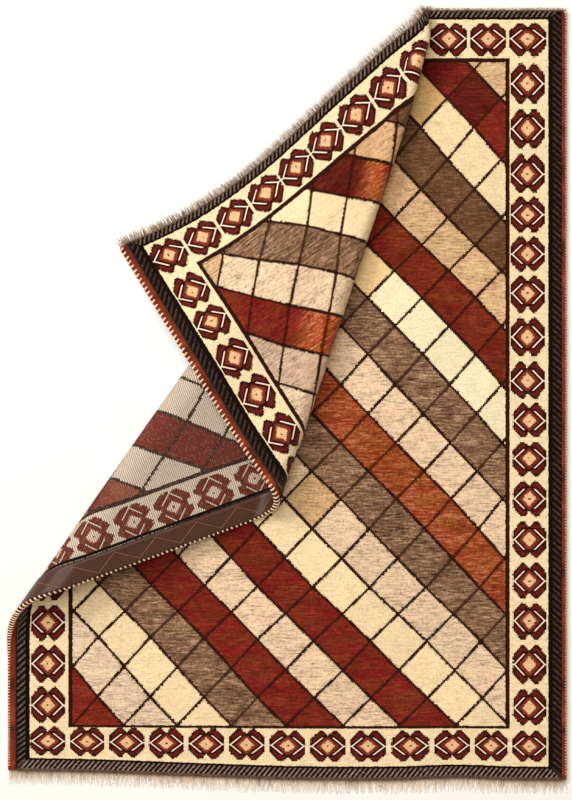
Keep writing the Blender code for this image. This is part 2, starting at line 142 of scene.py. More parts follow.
def middleSurface(u, v):
    # flat point, u across and v down, to its place in the folded rug, turned on a circle round the fan's point
    x = u - fold["fanU"]
    y = v - fold["fanV"]
    r = np.hypot(x, y)
    angle = np.arctan2(y, x)
    lower = math.radians(fold["lower"])
    across, height = foldProfile(r, r * (angle - lower))
    turned = lower + across / r
    level = np.sqrt(np.maximum(r ** 2 - (height - rug["thick"] / 2) ** 2, 1e-6))
    driftX, driftY = flapDrift(r, angle)
    short = lowerEnd["short"] * (1.0 - ease(u / lowerEnd["span"]))
    dent = lowerEnd["dent"] * np.exp(-((u - lowerEnd["dentAt"]) / lowerEnd["dentWide"]) ** 2)
    pull = (short + dent) * ease((v - lowerEnd["start"]) / lowerEnd["over"])
    inset = np.minimum(u, rug["width"] - u)
    lift = 1.0 - ease((inset - fold["liftFull"]) / (fold["liftNone"] - fold["liftFull"]))
    lift = lift * (rug["leatherThick"] + rug["leatherGap"])
    foldedU = fold["fanU"] + level * np.cos(turned) + driftX
    foldedV = fold["fanV"] + level * np.sin(turned) + driftY - pull
    sideways = foldedU - rug["width"] / 2 + shiftX
    upwards = rug["length"] / 2 - foldedV + shiftY
    return np.stack((sideways, upwards, height + lift), -1)


def unit(vectors):
    return vectors / np.maximum(np.linalg.norm(vectors, axis=-1, keepdims=True), 1e-9)


def inCloth(u, v, lift):
    # the middle surface moved by lift along its normal, found from differences 0.4 mm to each side
    u, v, lift = np.broadcast_arrays(*(np.asarray(value, dtype=float) for value in (u, v, lift)))
    near = 0.0004
    alongU = middleSurface(u + near, v) - middleSurface(u - near, v)
    alongV = middleSurface(u, v + near) - middleSurface(u, v - near)
    normal = unit(np.cross(alongV, alongU))
    return middleSurface(u, v) + normal * lift[..., None], normal


def lumps(u, v, seed, size, count=24):
    # smooth unevenness near -1 to 1: a sum of sine waves of random direction, about one size long
    rng = np.random.default_rng(seed)
    total = np.zeros(np.broadcast(u, v).shape)
    for _ in range(count):
        turn, phase = rng.uniform(0, 2 * np.pi, 2)
        wave = 2 * np.pi / (size * rng.uniform(0.6, 1.8))
        total = total + np.sin(wave * (u * np.cos(turn) + v * np.sin(turn)) + phase)
    return total / math.sqrt(count)


def addMesh(name, points, faces, uvMaps=None, faceMaterial=None):
    # smooth mesh from arrays of vertices and face corners; a uv map is given for each vertex
    mesh = bpy.data.meshes.new(name)
    faces = np.asarray(faces, dtype=np.int32)
    mesh.vertices.add(len(points))
    mesh.vertices.foreach_set("co", np.asarray(points, dtype=np.float32).ravel())
    mesh.loops.add(faces.size)
    mesh.loops.foreach_set("vertex_index", faces.ravel())
    mesh.polygons.add(len(faces))
    mesh.polygons.foreach_set("loop_start", np.arange(0, faces.size, faces.shape[1], dtype=np.int32))
    mesh.polygons.foreach_set("use_smooth", np.full(len(faces), True))
    if faceMaterial is not None:
        mesh.polygons.foreach_set("material_index", np.asarray(faceMaterial, dtype=np.int32))
    mesh.update(calc_edges=True)
    for mapName, values in (uvMaps or {}).items():
        layer = mesh.uv_layers.new(name=mapName)
        layer.uv.foreach_set("vector", np.asarray(values, dtype=np.float32)[faces.ravel()].ravel())
    piece = bpy.data.objects.new(name, mesh)
    bpy.context.scene.collection.objects.link(piece)
    return piece


def addPiece(name, points, faces, maps, surfaces, faceMaterial=None):
    # a piece of the rug from vertices of any array shape
    piece = addMesh(name, points.reshape(-1, 3), faces, maps, faceMaterial)
    for surface in surfaces:
        piece.data.materials.append(surface)
    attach(piece, "root")
    return piece


def clothMap(u, v, times=1):
    # the uv map in metres on the flat cloth, each place given so many times
    return dict(cloth=np.repeat(np.stack((u, v), -1).reshape(-1, 2), times, axis=0))


def gridFaces(rows, columns, closeColumns=False):
    # quads of a rows by columns grid of vertices, with its last column joined to its first where asked
    wide = columns if closeColumns else columns - 1
    i, j = np.meshgrid(np.arange(rows - 1), np.arange(wide), indexing="ij")
    here, below = i.ravel() * columns, (i.ravel() + 1) * columns
    j, right = j.ravel(), (j.ravel() + 1) % columns
    return np.stack((here + j, here + right, below + right, below + j), -1)


def tubes(paths, radii, sides, normals=None, flat=1.0):
    # many tubes at once: paths is tubes x points x 3, radii is tubes x points, each ring square to its
    # path; flat is the section's thickness along the normals as a share of its width
    count, stations, _ = paths.shape
    along = unit(np.gradient(paths, axis=1))
    up = np.broadcast_to(np.array([0.0, 0.0, 1.0]), paths.shape) if normals is None else normals
    side = unit(np.cross(along, up))
    up = np.cross(side, along)
    turn = np.arange(sides) / sides * 2 * np.pi
    ring = side[:, :, None] * np.cos(turn)[:, None] + up[:, :, None] * (flat * np.sin(turn))[:, None]
    points = paths[:, :, None] + ring * radii[:, :, None, None]
    faces = gridFaces(stations, sides, closeColumns=True)
    faces = (faces[None] + (np.arange(count) * stations * sides)[:, None, None]).reshape(-1, 4)
    return points.reshape(-1, 3), faces


# Quads that close a ring of so many corners.
ringCaps = {4: ((3, 2, 1, 0),), 6: ((0, 1, 2, 3), (3, 4, 5, 0)),
            12: ((0, 1, 2, 3), (3, 4, 5, 0), (5, 6, 7, 0), (7, 8, 11, 0), (8, 9, 10, 11))}


def closeTubes(faces, count, stations, sides):
    # the faces of so many tubes, with both ends of each one closed
    cap = np.array(ringCaps[sides])
    start = (np.arange(count) * stations * sides)[:, None, None]
    first = (start + cap).reshape(-1, 4)
    last = (start + (stations - 1) * sides + cap[:, ::-1]).reshape(-1, 4)
    return np.concatenate((faces, first, last))


print("fold functions ready")


def foldLine(kinds, shares, left, rows):
    # station lines through the bends, from the top end to the left edge: the distance r where each one
    # meets an edge starts from a guess and goes half way to its new value 60 times, and the rows crowd
    # towards the top end
    def angles(r):
        _, _, _, lowerStart, lowerStop, upperStart, upperStop = foldStations(r)
        first = np.choose(kinds, (lowerStart, lowerStop, upperStart))
        last = np.choose(kinds, (lowerStop, upperStart, upperStop))
        return math.radians(fold["lower"]) + (first + (last - first) * shares) / r

    top = np.full(len(shares), 0.05)
    side = np.full(len(shares), 1.2)
    for _ in range(60):
        top = 0.5 * top - 0.5 * fold["fanV"] / np.sin(angles(top))
        side = 0.5 * side + 0.5 * (left - fold["fanU"]) / np.cos(angles(side))
    lines = []
    for share in np.linspace(0.0, 1.0, rows) ** 1.5:
        r = top + (side - top) * share
        angle = angles(r)
        lines.append(np.stack((fold["fanU"] + r * np.cos(angle), fold["fanV"] + r * np.sin(angle)), -1))
    return np.stack(lines, 1)


def rugGrid(left, right, mainCount, bendCount, layerCount, flapCount, rows):
    # flat points of the rug's grid: stations over the main part and the flap run straight far from the
    # folds and take on the folds' bow near them, by the third power of the share on the way in the main
    # part and by the square in the flap
    kinds = np.repeat((0, 1, 2), (bendCount, layerCount, bendCount))
    shares = np.concatenate((np.linspace(0, 1, bendCount), (np.arange(layerCount) + 1) / (layerCount + 1),
                             np.linspace(0, 1, bendCount)))
    folds = foldLine(kinds, shares, left, rows)
    lower, upper = folds[0], folds[-1]

    def along(line):
        far = np.linalg.norm(line - line[0], axis=1)
        return far / far[-1]

    lowCorner = mainCount * 3 // 4
    k = np.arange(mainCount) / mainCount
    top = np.stack((right + (lower[0, 0] - right) * k, 0 * k), -1)
    across = np.minimum(np.arange(mainCount) / lowCorner, 1.0)
    up = np.maximum(np.arange(mainCount) - lowCorner, 0) / (mainCount - lowCorner)
    low = np.stack((right + (left - right) * across, rug["length"] + (lower[-1, 1] - rug["length"]) * up), -1)
    shares = along(lower)
    bow = lower - (lower[0] + (lower[-1] - lower[0]) * shares[:, None])
    main = top[:, None] + (low - top)[:, None] * shares[None, :, None] + bow[None] * (k ** 3)[:, None, None]

    k = (np.arange(flapCount) + 1) / flapCount
    top = np.stack((upper[0, 0] + (left - upper[0, 0]) * k ** 1.6, 0 * k), -1)
    low = np.stack((0 * k + left, upper[-1, 1] + (0.02 - upper[-1, 1]) * k), -1)
    shares = along(upper)
    bow = upper - (upper[0] + (upper[-1] - upper[0]) * shares[:, None])
    evened = shares[None] + (np.linspace(0, 1, rows)[None] - shares[None]) * k[:, None]
    flap = top[:, None] + (low - top)[:, None] * evened[..., None] + bow[None] * ((1 - k) ** 2)[:, None, None]
    return np.concatenate((main, folds, flap))


# Where the pattern's lines cross, in mm from the rug's left edge and top end. Lattice columns
# are read at three levels down the rug and lattice rows at its left and right, and the medallions along all
# four sides.
chart = dict(
    columnLevels=(200, 1005, 1562),
    columns=(
        (81, 142, 196, 256, 324, 386, 439, 494, 555, 614, 671, 728, 785, 842, 901, 959, 1018, 1077, 1136),
        (83, 148, 203, 260, 315, 372, 430, 487, 545, 604, 663, 727, 787, 848, 909, 967, 1025, 1079, 1139),
        (81, 141, 195, 253, 310, 370, 428, 489, 545, 608, 670, 733, 794, 856, 918, 979, 1038, 1094, 1152)),
    rowsLeft=(1625, 1563, 1499, 1433, 1368, 1312, 1254, 1192, 1130, 1068, 1007, 945, 875, 801, 736, 674, 613,
              552, 489, 426, 364, 298, 235, 176, 119, 60),
    rowsRight=(1625, 1562, 1502, 1442, 1378, 1319, 1261, 1197, 1133, 1067, 1007, 945, 881, 818, 751, 690, 628,
               569, 513, 454, 391, 326, 256, 193, 130, 69),
    rowsFrom=250, rowsOver=500,
    endTop=(0, 88, 177, 265, 353, 439, 523, 608, 698, 783, 873, 964, 1049, 1135, 1222),
    endLow=(0, 88, 173, 260, 346, 434, 521, 612, 699, 786, 879, 972, 1056, 1139, 1226),
    sideLeft=(-23, 61, 159, 236, 329, 419, 519, 611, 703, 797, 891, 985, 1077, 1168, 1251, 1337, 1427, 1518,
              1607, 1693),
    sideRight=(-23, 62, 161, 259, 359, 447, 533, 618, 714, 810, 897, 979, 1067, 1156, 1247, 1333, 1429, 1524,
               1608, 1693),
    halfAcross=600, halfDown=840)

# The border in mm: the guard's inner edge from each edge of the rug, then widths inwards from it.
border = dict(guardLeft=48.3, guardRight=39.8, guardTop=20.8, guardLow=30.2, ivory=84.0, lowScale=1.08,
              lineLow=5.0, fieldLow=2.2, edgeSoft=0.7, guardSoft=0.6, stray=1.4)


def patternMaps(u, v):
    # four uv maps: metres, lattice lines, medallions, and distances in from the guard at the sides and
    # ends. Counts run through the chart's places; p and q of the lattice are half the sum and half the
    # difference of column and row, so that its slanted lines lie at whole numbers
    def counted(place, table):
        return np.interp(place, table, np.arange(len(table)) - 1.0)

    x, y = u * 1000.0, v * 1000.0
    first, second, third = (counted(x, places) for places in chart["columns"])
    level = np.interp(y, chart["columnLevels"], (0.0, 1.0, 2.0))
    column = np.where(level < 1, first + (second - first) * level, second + (third - second) * (level - 1))
    rowLeft = counted(-y, -np.array(chart["rowsLeft"]))
    rowRight = counted(-y, -np.array(chart["rowsRight"]))
    row = rowLeft + (rowRight - rowLeft) * ease((x - chart["rowsFrom"]) / chart["rowsOver"])
    across = np.where(y < chart["halfDown"], counted(x, chart["endTop"]), counted(x, chart["endLow"]))
    down = np.where(x < chart["halfAcross"], counted(y, chart["sideLeft"]), counted(y, chart["sideRight"]))
    sides = np.minimum(x - border["guardLeft"], rug["width"] * 1000 - border["guardRight"] - x)
    ends = np.minimum(y - border["guardTop"],
                      (rug["length"] * 1000 - border["guardLow"] - y) * border["lowScale"])
    return dict(cloth=np.stack((u, v), -1), lattice=np.stack(((column + row) / 2, (column - row) / 2), -1),
                medallion=np.stack((across, down), -1), border=np.stack((sides, ends), -1) / 100.0)


# Materials are written as formulas: arithmetic with a Signal adds the Math nodes for it.

class Signal:
    # one output in a material's tree
    def __init__(self, tree, socket):
        self.tree = tree
        self.socket = socket

    __add__ = lambda self, other: calc("ADD", self, other)
    __radd__ = lambda self, other: calc("ADD", other, self)
    __sub__ = lambda self, other: calc("SUBTRACT", self, other)
    __rsub__ = lambda self, other: calc("SUBTRACT", other, self)
    __mul__ = lambda self, other: calc("MULTIPLY", self, other)
    __truediv__ = lambda self, other: calc("DIVIDE", self, other)
    __abs__ = lambda self: calc("ABSOLUTE", self)


def addNode(kind, sockets, values, output=0, **settings):
    # node in the values' own tree: signals are linked to its sockets and plain values are set in them
    tree = next(value.tree for value in values if isinstance(value, Signal))
    node = tree.nodes.new("ShaderNode" + kind)
    for key, setting in settings.items():
        setattr(node, key, setting)
    for socket, value in zip(sockets, values):
        if isinstance(value, Signal):
            tree.links.new(value.socket, node.inputs[socket])
        else:
            node.inputs[socket].default_value = value
    return Signal(tree, node.outputs[output])


def calc(operation, *values):
    return addNode("Math", range(3), values, operation=operation)


def least(first, second):
    return calc("MINIMUM", first, second)


def most(first, second):
    return calc("MAXIMUM", first, second)


def offWhole(value):
    # signed distance from the nearest whole number
    return value - calc("ROUND", value)


def join(x, y, z=0.0):
    return addNode("CombineXYZ", range(3), (x, y, z))


def uvMap(tree, name):
    # the two parts of a uv map
    node = tree.nodes.new("ShaderNodeUVMap")
    node.uv_map = name
    parts = addNode("SeparateXYZ", [0], [Signal(tree, node.outputs[0])]).socket.node.outputs
    return Signal(tree, parts[0]), Signal(tree, parts[1])


def step(value, low, high):
    # zero below low, one above high, smooth between; low may be above high
    ends = (low, high, 0.0, 1.0) if low < high else (high, low, 1.0, 0.0)
    return addNode("MapRange", range(5), (value, *ends), interpolation_type="SMOOTHSTEP")


def blend(share, first, second):
    return addNode("Mix", (0, 6, 7), (share, first, second), 2, data_type="RGBA")


def noise(vector, scale, detail=2.0, rough=0.5):
    sockets = ("Vector", "Scale", "Detail", "Roughness")
    return addNode("TexNoise", sockets, (vector, scale, detail, rough), "Fac")


def grained(u, v, waves, detail=2.0, rough=0.5, layer=0.0):
    # noise stretched over the cloth, with its waves a metre across and along
    return noise(join(u * waves[0], v * waves[1], layer), 1.0, detail, rough)


def speck(vector):
    # one random value for each whole-number place
    return addNode("TexWhiteNoise", ("Vector",), (vector,), "Value", noise_dimensions="3D")


def shaded(value, drawn, hue=0.5):
    # a colour with its brightness times value, and its hue turned away from 0.5
    return addNode("HueSaturation", ("Hue", "Value", "Color"), (hue, value, drawn))


def brightness(drawn):
    return addNode("RGBToBW", [0], [drawn])


def colour(red, green, blue, alpha=1.0):
    # a colour as seen on screen, 0 to 255, to the linear values that a shader takes
    def linear(part):
        part = part / 255.0
        return part / 12.92 if part <= 0.04045 else ((part + 0.055) / 1.055) ** 2.4
    return linear(red), linear(green), linear(blue), alpha


def bands(place, stops):
    # stepped ramp with one flat colour and alpha for each whole number of place, from zero
    drawn = addNode("ValToRGB", [0], [(place + 0.5) / float(len(stops))])
    node = drawn.socket.node
    node.color_ramp.interpolation = "CONSTANT"
    elements = node.color_ramp.elements
    while len(elements) < len(stops):
        elements.new(1.0)
    for k, value in enumerate(stops):
        elements[k].position = k / len(stops)
        elements[k].color = value
    return drawn, Signal(place.tree, node.outputs[1])


def newMaterial(name, roughness, shine=0.04):
    surface = bpy.data.materials.new(name)
    surface.use_nodes = True
    shader = surface.node_tree.nodes["Principled BSDF"]
    shader.inputs["Roughness"].default_value = roughness
    shader.inputs["Specular IOR Level"].default_value = shine
    return surface, surface.node_tree, shader


def plug(shader, socket, signal):
    signal.tree.links.new(signal.socket, shader.inputs[socket])


def addBump(shader, height, strength, distance):
    plug(shader, "Normal", addNode("Bump", ("Strength", "Distance", "Height"), (strength, distance, height)))


# Wools of the rug: colour as seen, then how heathered the yarn is.
wools = dict(
    red=(117, 38, 26, 0.85), rust=(152, 68, 32, 0.72), darkRed=(92, 28, 20, 0.78),
    brick=(114, 40, 24, 0.85), wine=(80, 20, 15, 0.70), orange=(168, 78, 34, 0.70),
    honey=(206, 168, 112, 0.40), beige=(230, 201, 167, 0.58), paleBeige=(231, 204, 173, 0.58),
    ivory=(245, 220, 177, 0.16), pale=(244, 230, 191, 0.10), gold=(240, 208, 152, 0.16),
    camel=(205, 166, 122, 0.58), tan=(212, 175, 132, 0.58), orangeBack=(142, 78, 46, 0.60),
    greyBrown=(128, 95, 72, 1.0), darkBrown=(103, 70, 46, 0.75), greyBeige=(206, 176, 148, 0.55),
    line=(46, 20, 9, 0.0), guard=(22, 10, 6, 0.0), stroke=(142, 120, 110, 0.0), weave=(112, 86, 66, 0.0),
    outline=(52, 16, 10, 0.0), maroon=(98, 32, 24, 0.0), brown=(124, 50, 32, 0.0),
    salmon=(236, 190, 144, 0.0), white=(255, 232, 214, 0.0), dot=(88, 60, 24, 0.0),
    weft=(207, 193, 178, 0.0), lightFibre=(226, 196, 160, 1.0), darkFibre=(52, 34, 24, 1.0),
    # the last colour is no wool but painted shade for the gaps between the woven back's rows
    backRed=(122, 56, 36, 1.0), backGapShade=(54, 38, 30, 1.0))

# Diagonal stripes from the lower left corner to the upper right: the upper left half, then the lower right.
stripesUpper = ("red", "paleBeige", "ivory", "greyBrown", "orangeBack", "paleBeige", "brick", "ivory",
                "paleBeige", "greyBeige", "red", "beige", "greyBrown", "ivory", "darkRed", "camel",
                "darkBrown", "gold", "wine", "tan")
stripesLower = ("red", "paleBeige", "ivory", "greyBrown", "red", "beige", "red", "ivory", "beige",
                "greyBrown", "rust", "beige", "greyBrown", "pale", "brick", "tan", "darkBrown", "ivory",
                "red", "tan")

# Lengths of a stripe in another yarn: stripe, from and to in cells along it, how softly it starts, wool.
oddCells = ((8, 0.0, 1.0, 0.02, "camel"), (10, -8.5, -7.0, 0.30, "orange"), (11, -12.0, -11.0, 0.02, "tan"),
            (13, -3.0, -2.0, 0.02, "gold"), (14, -7.6, -6.5, 0.30, "orange"), (17, -5.0, -4.0, 0.02, "honey"),
            (18, -4.0, -3.0, 0.10, "darkRed"))

# A knot in metres, a row's height on the back, and how far a knot strays as a share of its size.
knots = dict(wide=0.0034, high=0.0036, backRow=0.0044, ragged=0.35)

# The field: a cell's side and its diagonals in mm, a line's half width and soft edge, and how its two
# halves meet.
lattice = dict(cell=86.0, cellAcross=119.4, cellDown=123.8, line=3.2, lineSoft=0.5, driftScale=4.0, drift=3.0,
               halves=(-3.6, -2.4), tone=0.93, toneSpread=0.14, paleFrom=(0.10, 0.40), crossing=0.85)

# A medallion, in parts of about 2.2 mm from its centre. Each pair is the limits of a soft edge.
medallion = dict(
    pitchEnd=88.0, pitchSide=91.0, wide=38.6, endNarrower=1.0, topNarrower=2.0, high=43.2, endTaller=4.4,
    pulledShorter=4.6, cornerLow=7.2, cornerAcross=(91.0, 89.0), cornerDown=(90.2, 88.2), top=19.3,
    notch=13.2, lobeSlope=1.30, shoulder=29.6, shoulderSlope=1.25, flank=16.6, flankSlope=1.2,
    soft=(-0.25, 0.25), edging=(3.3, 2.6), tip=15.0, slantAcross=0.727, slantDown=0.686,
    darkHalf=(3.0, 2.4), darkReach=(13.2, 12.6), whiteHalf=(0.72, 0.50), whiteReach=(10.7, 10.3),
    tipHalf=(0.75, 0.5), tipFrom=(13.8, 14.2), heartWide=10.5, heartHigh=13.5, heartSoft=(1.05, 0.95),
    diamondWide=6.7, diamondHigh=8.0, diamondSoft=(1.06, 0.94), dot=(1.6, 1.1), groundScale=9.0,
    groundShare=0.3)

# The guard, in mm: the dark line inside the border, the black bands, and the pitch, slant and strength of its
# strokes, which are worn more on the sides than at the lower left and along the ends.
guard = dict(inner=9.4, blackEnd=5.0, blackSide=9.5, blackSoft=(-0.6, 0.8), pitchEnd=11.0, pitchSide=14.5,
             slantSide=0.9, slantEnd=0.75, stroke=(0.27, 0.17), lowFrom=(1.0, 1.25), leftTo=(0.3, 0.2),
             sideStrength=0.16, lowLeftMore=0.30, endStrength=0.48, lowEndMore=0.37, unbroken=0.45,
             broken=0.75, topWeave=0.0035, weave=(0.0068, 0.0056), weaveDark=0.62, heather=0.12)


def wool(name, darker=1.0):
    red, green, blue, heather = wools[name]
    return colour(red * darker, green * darker, blue * darker, heather)


def knotGrid(u, v, rowHigh):
    # where a point lies counted in knots, two random values for each knot, and how far in mm the drawing
    # moves there, so that it steps with the knots and each knot strays a little
    knotU = u / knots["wide"]
    knotV = v / rowHigh
    cellU = calc("FLOOR", knotU)
    cellV = calc("FLOOR", knotV)
    stray = speck(join(cellU, cellV))
    strayToo = speck(join(cellV, cellU, 7.0))
    moveU = (cellU + 0.5 - knotU + (stray - 0.5) * knots["ragged"]) * (knots["wide"] * 1000)
    moveV = (cellV + 0.5 - knotV + (strayToo - 0.5) * knots["ragged"]) * (rowHigh * 1000)
    return dict(u=knotU, v=knotV, stray=stray, strayToo=strayToo, moveU=moveU, moveV=moveV)


def fieldColour(u, v, p, q, knot):
    # stripes and lattice lines: p and q count the lines of the two slants, a stripe is one whole number of
    # p, and the wools of its halves meet where q, with slow noise added, passes between two values
    halfU = knot["moveU"] / lattice["cellAcross"]
    halfV = knot["moveV"] / lattice["cellDown"]
    p = p + halfU - halfV
    q = q + halfU + halfV
    stripe = calc("FLOOR", p)
    upperColour, upperHeather = bands(stripe, [wool(name) for name in stripesUpper])
    lowerColour, lowerHeather = bands(stripe, [wool(name) for name in stripesLower])
    half = step(q + noise(join(u, v), lattice["driftScale"]) * lattice["drift"], *lattice["halves"])
    drawn = blend(half, upperColour, lowerColour)
    for number, first, last, soft, name in oddCells:
        here = step(q, first - soft, first + soft) * step(q, last + soft, last - soft)
        drawn = blend(here * calc("COMPARE", stripe, float(number), 0.5), drawn, wool(name))
    heather = upperHeather * (1.0 - half) + lowerHeather * half
    tone = speck(join(stripe, calc("FLOOR", q), 3.0))
    drawn = shaded(tone * lattice["toneSpread"] + lattice["tone"], drawn)

    # A line of the second slant shows less inside a dark stripe.
    pale = step(brightness(drawn), *lattice["paleFrom"])
    limits = (lattice["line"] + lattice["lineSoft"], lattice["line"] - lattice["lineSoft"])
    lineP = step(abs(offWhole(p)) * lattice["cell"], *limits)
    lineQ = step(abs(offWhole(q)) * lattice["cell"], *limits)
    line = most(lineP, lineQ * (pale * (1.0 - lattice["crossing"]) + lattice["crossing"]))
    return blend(line, drawn, wool("line")), heather * (1.0 - line)


def medallionInside(x, y):
    # how far inside the lobed outline: the least of its flat top less y, the lobe's edge that rises from
    # the notch, the shoulder's that falls from it, and the upright flank's
    lobe = x * medallion["lobeSlope"] + medallion["notch"] - y
    shoulder = medallion["shoulder"] - x * medallion["shoulderSlope"] - y
    flank = (medallion["flank"] - x) * medallion["flankSlope"]
    return least(least(lobe, medallion["top"] - y), least(shoulder, flank))


def offSlant(x, y):
    # distance from the straight line that slants up and inwards from the tip at each side
    return abs((x - medallion["tip"]) * medallion["slantAcross"] + y * medallion["slantDown"])


def medallionSize(u, sides, ends, lower):
    # a medallion's drawn width and height: along the ends it is narrower and taller than down the sides, a
    # corner counts as an end, and the lower end's are shorter where that end is pulled in
    corner = ends - lower * medallion["cornerLow"]
    inCorner = step(sides, *medallion["cornerAcross"]) * step(corner, *medallion["cornerDown"])
    onEnd = most(step(ends - sides, 1.0, -1.0), inCorner)
    pulled = lower * onEnd * step(u, lowerEnd["span"], 0.0)
    topEnd = onEnd * (1.0 - lower)
    wide = medallion["wide"] - onEnd * medallion["endNarrower"] - topEnd * medallion["topNarrower"]
    high = medallion["high"] + onEnd * medallion["endTaller"] - pulled * medallion["pulledShorter"]
    return wide, high


def medallionColour(u, v, across, down, size, knot):
    # medallions on ivory: a maroon shape with a brown heart and dark edging, white lines from its side
    # tips, and a pale diamond with a dot; all but the white lines step with the knots
    wide, high = size
    sideways = offWhole(across)
    upright = offWhole(down)
    plainX = abs(sideways * wide)
    plainY = abs(upright * high)
    x = abs((sideways + knot["moveU"] / medallion["pitchEnd"]) * wide)
    y = abs((upright + knot["moveV"] / medallion["pitchSide"]) * high)
    inside = medallionInside(x, y)
    dark = step(offSlant(x, y), *medallion["darkHalf"]) * step(y, *medallion["darkReach"])
    edging = most(step(inside, *medallion["edging"]), dark)
    white = step(offSlant(plainX, plainY), *medallion["whiteHalf"]) * step(plainY, *medallion["whiteReach"])
    white = most(white, step(plainY, *medallion["tipHalf"]) * step(plainX, *medallion["tipFrom"]))
    heart = step(x / medallion["heartWide"] + y / medallion["heartHigh"], *medallion["heartSoft"])
    diamond = step(x / medallion["diamondWide"] + y / medallion["diamondHigh"], *medallion["diamondSoft"])
    shape = blend(heart, wool("maroon"), wool("brown"))
    shape = blend(edging, shape, wool("outline"))
    shape = blend(diamond, shape, wool("salmon"))
    shape = blend(step(x + y, *medallion["dot"]), shape, wool("dot"))
    shape = blend(white, shape, wool("white"))
    drift = noise(join(u, v), medallion["groundScale"]) * medallion["groundShare"]
    return blend(step(inside, *medallion["soft"]), blend(drift, wool("ivory"), wool("pale")), shape)


def guardColour(u, v, onEnd, lower, outwards, stray):
    # a near-black line, then slanted strokes, then the plain end weave; the strokes repeat along the end or
    # the side, and their slant is a share of the distance outwards that is added to the place along it
    alongSide = v * 1000.0 - outwards * guard["slantSide"]
    alongEnd = u * 1000.0 + outwards * (lower * (2 * guard["slantEnd"]) - guard["slantEnd"])
    phase = alongEnd * (onEnd / guard["pitchEnd"]) + alongSide * ((1.0 - onEnd) / guard["pitchSide"])
    stroke = step(abs(calc("FRACT", phase) - 0.5), *guard["stroke"])
    black = guard["blackSide"] + onEnd * (guard["blackEnd"] - guard["blackSide"])
    lowLeft = step(v, *guard["lowFrom"]) * step(u, *guard["leftTo"])
    strength = onEnd * (lower * guard["lowEndMore"] + guard["endStrength"])
    strength = strength + (lowLeft * guard["lowLeftMore"] + guard["sideStrength"])
    stroke = stroke * strength * (guard["unbroken"] + stray * guard["broken"])
    stroke = stroke * step(outwards - black, *guard["blackSoft"])
    atEnd = step(least(v + guard["topWeave"], rug["length"] - v), *guard["weave"])
    weave = blend(stray, wool("weave"), wool("weave", guard["weaveDark"]))
    return blend(atEnd, blend(stroke, wool("guard"), wool("stroke")), weave)


def patternColour(tree, rowHigh):
    # the rug's drawing, from the guard inwards over the ivory band and its dark line to the field; returns
    # colour, the place on the cloth, the knots and how heathered the wool is
    u, v = uvMap(tree, "cloth")
    p, q = uvMap(tree, "lattice")
    across, down = uvMap(tree, "medallion")
    sides, ends = (part * 100.0 for part in uvMap(tree, "border"))
    knot = knotGrid(u, v, rowHigh)
    field, heather = fieldColour(u, v, p, q, knot)
    lower = step(v, 0.8, 0.9)
    ring = medallionColour(u, v, across, down, medallionSize(u, sides, ends, lower), knot)

    def past(place, edge):
        return step(place, edge - border["edgeSoft"], edge + border["edgeSoft"])

    stray = (knot["stray"] - 0.5) * border["stray"]
    inset = least(sides, ends) + stray
    lineInset = least(sides, ends - lower * border["lineLow"]) + stray
    fieldInset = least(sides, ends - lower * border["fieldLow"]) + stray
    ring = blend(past(lineInset, border["ivory"]), ring, wool("line"))
    outer = guardColour(u, v, step(ends - sides, 1.0, -1.0), lower, inset * -1.0, knot["stray"])
    ring = blend(step(inset, border["guardSoft"], -border["guardSoft"]), ring, outer)
    inField = past(fieldInset, border["ivory"] + guard["inner"])
    heather = heather * inField + (1.0 - inField) * guard["heather"]
    return blend(inField, ring, field), (u, v), knot, heather


# Pile: each streak's waves a metre across and along, its strength, and how far it lightens or darkens.
pile = dict(
    roughness=0.95, sheen=0.15, sheenRough=0.45, sheenTint=(1.0, 0.94, 0.86, 1.0),
    streakWaves=(38.0, 260.0), streak=2.6, broadWaves=(9.0, 42.0), broad=1.1, knotted=0.30,
    lighten=1.1, lightMix=0.55, lighter=2.2, darken=-1.5, darker=0.45, mixedFrom=(0.05, 0.12),
    grain=0.16, streakShade=0.35, dyeWaves=(12.0, 34.0), dyeReach=1.6, dyeTurn=0.05,
    fibreWaves=(900.0, 900.0), tuftHigh=0.5, fibreHigh=0.6, streakHigh=0.6, bump=0.45, bumpDeep=0.0015)


